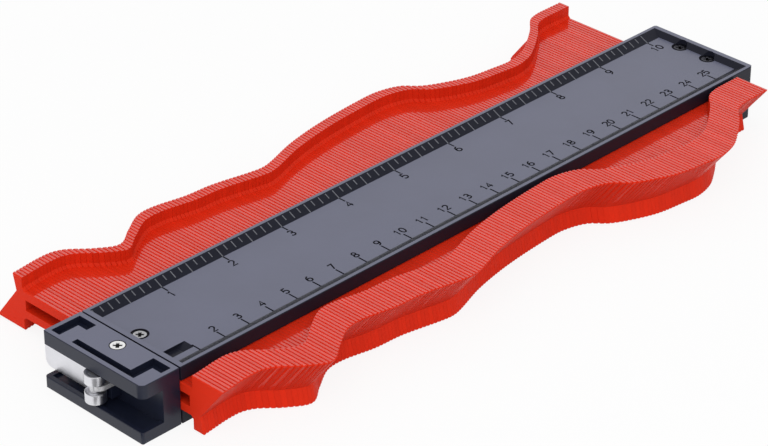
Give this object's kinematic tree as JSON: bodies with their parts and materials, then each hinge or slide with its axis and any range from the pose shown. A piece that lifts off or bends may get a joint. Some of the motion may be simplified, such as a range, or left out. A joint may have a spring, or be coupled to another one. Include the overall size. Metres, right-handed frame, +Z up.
{
  "type": "contour gauge",
  "caption": "Hand-held contour gauge: a stack of sliding leaves between two ruled covers copies a profile, and a cam lever at one end locks the stack.",
  "frame": {"origin": "middle of the body's underside, on the face that it rests on", "axes": "+X along the body away from the lever, +Y across it towards the back, +Z up"},
  "size_m": [0.2843, 0.1213, 0.02],
  "materials": {
    "cover_plastic": "fine matte moulding",
    "leaf_plastic": "satin moulding",
    "plate_plastic": "satin",
    "steel": "brushed",
    "bright_metal": "bright",
    "lever_metal": "satin nickel",
    "screw_metal": "dark zinc"
  },
  "bodies": {
    "body": {"top_cover": "cover_plastic", "bottom_cover": "cover_plastic", "lock_housing": "cover_plastic", "end_block": "cover_plastic", "front_rail": "steel", "back_rail": "steel", "link_plate": "steel", "anchor_screw": "bright_metal", "top_screws": "screw_metal", "bottom_screws": "screw_metal"},
    "lever": {"cam_lever": "lever_metal", "pivot_pin": "steel"},
    "pressure_plate": {"pressure_plate": "plate_plastic"},
    "leaves_01": {"leaves_01": "leaf_plastic"},
    "leaves_02": {"leaves_02": "leaf_plastic"},
    "leaves_03": {"leaves_03": "leaf_plastic"},
    "leaves_04": {"leaves_04": "leaf_plastic"},
    "leaves_05": {"leaves_05": "leaf_plastic"},
    "leaves_06": {"leaves_06": "leaf_plastic"},
    "leaves_07": {"leaves_07": "leaf_plastic"},
    "leaves_08": {"leaves_08": "leaf_plastic"},
    "leaves_09": {"leaves_09": "leaf_plastic"},
    "leaves_10": {"leaves_10": "leaf_plastic"},
    "leaves_11": {"leaves_11": "leaf_plastic"},
    "leaves_12": {"leaves_12": "leaf_plastic"},
    "leaves_13": {"leaves_13": "leaf_plastic"},
    "leaves_14": {"leaves_14": "leaf_plastic"},
    "leaves_15": {"leaves_15": "leaf_plastic"},
    "leaves_16": {"leaves_16": "leaf_plastic"},
    "leaves_17": {"leaves_17": "leaf_plastic"},
    "leaves_18": {"leaves_18": "leaf_plastic"},
    "leaves_19": {"leaves_19": "leaf_plastic"},
    "leaves_20": {"leaves_20": "leaf_plastic"},
    "leaves_21": {"leaves_21": "leaf_plastic"},
    "leaves_22": {"leaves_22": "leaf_plastic"},
    "leaves_23": {"leaves_23": "leaf_plastic"},
    "leaves_24": {"leaves_24": "leaf_plastic"},
    "leaves_25": {"leaves_25": "leaf_plastic"},
    "leaves_26": {"leaves_26": "leaf_plastic"},
    "leaves_27": {"leaves_27": "leaf_plastic"},
    "leaves_28": {"leaves_28": "leaf_plastic"},
    "leaves_29": {"leaves_29": "leaf_plastic"},
    "leaves_30": {"leaves_30": "leaf_plastic"},
    "leaves_31": {"leaves_31": "leaf_plastic"},
    "leaves_32": {"leaves_32": "leaf_plastic"},
    "leaves_33": {"leaves_33": "leaf_plastic"},
    "leaves_34": {"leaves_34": "leaf_plastic"},
    "leaves_35": {"leaves_35": "leaf_plastic"},
    "leaves_36": {"leaves_36": "leaf_plastic"},
    "leaves_37": {"leaves_37": "leaf_plastic"}
  },
  "joints": [
    {"name": "cam_lever_swing", "type": "hinge", "parent": "body", "child": "lever", "pos_m": [-0.14042, 0, 0.01], "axis": [0, 0, 1], "range_deg": [0, 120]},
    {"name": "pressure_plate_slide", "type": "slide", "parent": "body", "child": "pressure_plate", "axis": [1, 0, 0], "range_m": [-0.00061, 0]},
    {"name": "leaf_slide_01", "type": "slide", "parent": "body", "child": "leaves_01", "axis": [0, 1, 0], "range_m": [-0.02726, 0.00349]},
    {"name": "leaf_slide_02", "type": "slide", "parent": "body", "child": "leaves_02", "axis": [0, 1, 0], "range_m": [-0.02806, 0.00298]},
    {"name": "leaf_slide_03", "type": "slide", "parent": "body", "child": "leaves_03", "axis": [0, 1, 0], "range_m": [-0.0266, 0.00302]},
    {"name": "leaf_slide_04", "type": "slide", "parent": "body", "child": "leaves_04", "axis": [0, 1, 0], "range_m": [-0.02062, 0.00582]},
    {"name": "leaf_slide_05", "type": "slide", "parent": "body", "child": "leaves_05", "axis": [0, 1, 0], "range_m": [-0.0167, 0.01178]},
    {"name": "leaf_slide_06", "type": "slide", "parent": "body", "child": "leaves_06", "axis": [0, 1, 0], "range_m": [-0.01686, 0.01077]},
    {"name": "leaf_slide_07", "type": "slide", "parent": "body", "child": "leaves_07", "axis": [0, 1, 0], "range_m": [-0.02154, 0.00625]},
    {"name": "leaf_slide_08", "type": "slide", "parent": "body", "child": "leaves_08", "axis": [0, 1, 0], "range_m": [-0.02583, 0.00458]},
    {"name": "leaf_slide_09", "type": "slide", "parent": "body", "child": "leaves_09", "axis": [0, 1, 0], "range_m": [-0.02591, 0.00464]},
    {"name": "leaf_slide_10", "type": "slide", "parent": "body", "child": "leaves_10", "axis": [0, 1, 0], "range_m": [-0.02452, 0.00578]},
    {"name": "leaf_slide_11", "type": "slide", "parent": "body", "child": "leaves_11", "axis": [0, 1, 0], "range_m": [-0.02406, 0.00703]},
    {"name": "leaf_slide_12", "type": "slide", "parent": "body", "child": "leaves_12", "axis": [0, 1, 0], "range_m": [-0.02324, 0.0074]},
    {"name": "leaf_slide_13", "type": "slide", "parent": "body", "child": "leaves_13", "axis": [0, 1, 0], "range_m": [-0.02177, 0.00842]},
    {"name": "leaf_slide_14", "type": "slide", "parent": "body", "child": "leaves_14", "axis": [0, 1, 0], "range_m": [-0.02045, 0.00992]},
    {"name": "leaf_slide_15", "type": "slide", "parent": "body", "child": "leaves_15", "axis": [0, 1, 0], "range_m": [-0.02029, 0.01027]},
    {"name": "leaf_slide_16", "type": "slide", "parent": "body", "child": "leaves_16", "axis": [0, 1, 0], "range_m": [-0.02155, 0.00793]},
    {"name": "leaf_slide_17", "type": "slide", "parent": "body", "child": "leaves_17", "axis": [0, 1, 0], "range_m": [-0.02394, 0.00578]},
    {"name": "leaf_slide_18", "type": "slide", "parent": "body", "child": "leaves_18", "axis": [0, 1, 0], "range_m": [-0.02594, 0.00425]},
    {"name": "leaf_slide_19", "type": "slide", "parent": "body", "child": "leaves_19", "axis": [0, 1, 0], "range_m": [-0.0274, 0.00306]},
    {"name": "leaf_slide_20", "type": "slide", "parent": "body", "child": "leaves_20", "axis": [0, 1, 0], "range_m": [-0.02853, 0.00218]},
    {"name": "leaf_slide_21", "type": "slide", "parent": "body", "child": "leaves_21", "axis": [0, 1, 0], "range_m": [-0.02936, 0.00153]},
    {"name": "leaf_slide_22", "type": "slide", "parent": "body", "child": "leaves_22", "axis": [0, 1, 0], "range_m": [-0.02996, 0.00106]},
    {"name": "leaf_slide_23", "type": "slide", "parent": "body", "child": "leaves_23", "axis": [0, 1, 0], "range_m": [-0.03042, 0.00077]},
    {"name": "leaf_slide_24", "type": "slide", "parent": "body", "child": "leaves_24", "axis": [0, 1, 0], "range_m": [-0.02964, 0.00081]},
    {"name": "leaf_slide_25", "type": "slide", "parent": "body", "child": "leaves_25", "axis": [0, 1, 0], "range_m": [-0.02589, 0.00216]},
    {"name": "leaf_slide_26", "type": "slide", "parent": "body", "child": "leaves_26", "axis": [0, 1, 0], "range_m": [-0.02044, 0.00703]},
    {"name": "leaf_slide_27", "type": "slide", "parent": "body", "child": "leaves_27", "axis": [0, 1, 0], "range_m": [-0.01737, 0.01162]},
    {"name": "leaf_slide_28", "type": "slide", "parent": "body", "child": "leaves_28", "axis": [0, 1, 0], "range_m": [-0.01526, 0.01455]},
    {"name": "leaf_slide_29", "type": "slide", "parent": "body", "child": "leaves_29", "axis": [0, 1, 0], "range_m": [-0.01433, 0.01638]},
    {"name": "leaf_slide_30", "type": "slide", "parent": "body", "child": "leaves_30", "axis": [0, 1, 0], "range_m": [-0.01353, 0.01721]},
    {"name": "leaf_slide_31", "type": "slide", "parent": "body", "child": "leaves_31", "axis": [0, 1, 0], "range_m": [-0.01346, 0.01736]},
    {"name": "leaf_slide_32", "type": "slide", "parent": "body", "child": "leaves_32", "axis": [0, 1, 0], "range_m": [-0.01436, 0.01478]},
    {"name": "leaf_slide_33", "type": "slide", "parent": "body", "child": "leaves_33", "axis": [0, 1, 0], "range_m": [-0.01744, 0.01033]},
    {"name": "leaf_slide_34", "type": "slide", "parent": "body", "child": "leaves_34", "axis": [0, 1, 0], "range_m": [-0.02203, 0.00492]},
    {"name": "leaf_slide_35", "type": "slide", "parent": "body", "child": "leaves_35", "axis": [0, 1, 0], "range_m": [-0.02778, 0.00049]},
    {"name": "leaf_slide_36", "type": "slide", "parent": "body", "child": "leaves_36", "axis": [0, 1, 0], "range_m": [-0.03115, 0]},
    {"name": "leaf_slide_37", "type": "slide", "parent": "body", "child": "leaves_37", "axis": [0, 1, 0], "range_m": [-0.0314, 0]}
  ],
  "couplings": [
    {"joint": "pressure_plate_slide", "follows": "cam_lever_swing", "m_per_rad": -0.00028648}
  ]
}
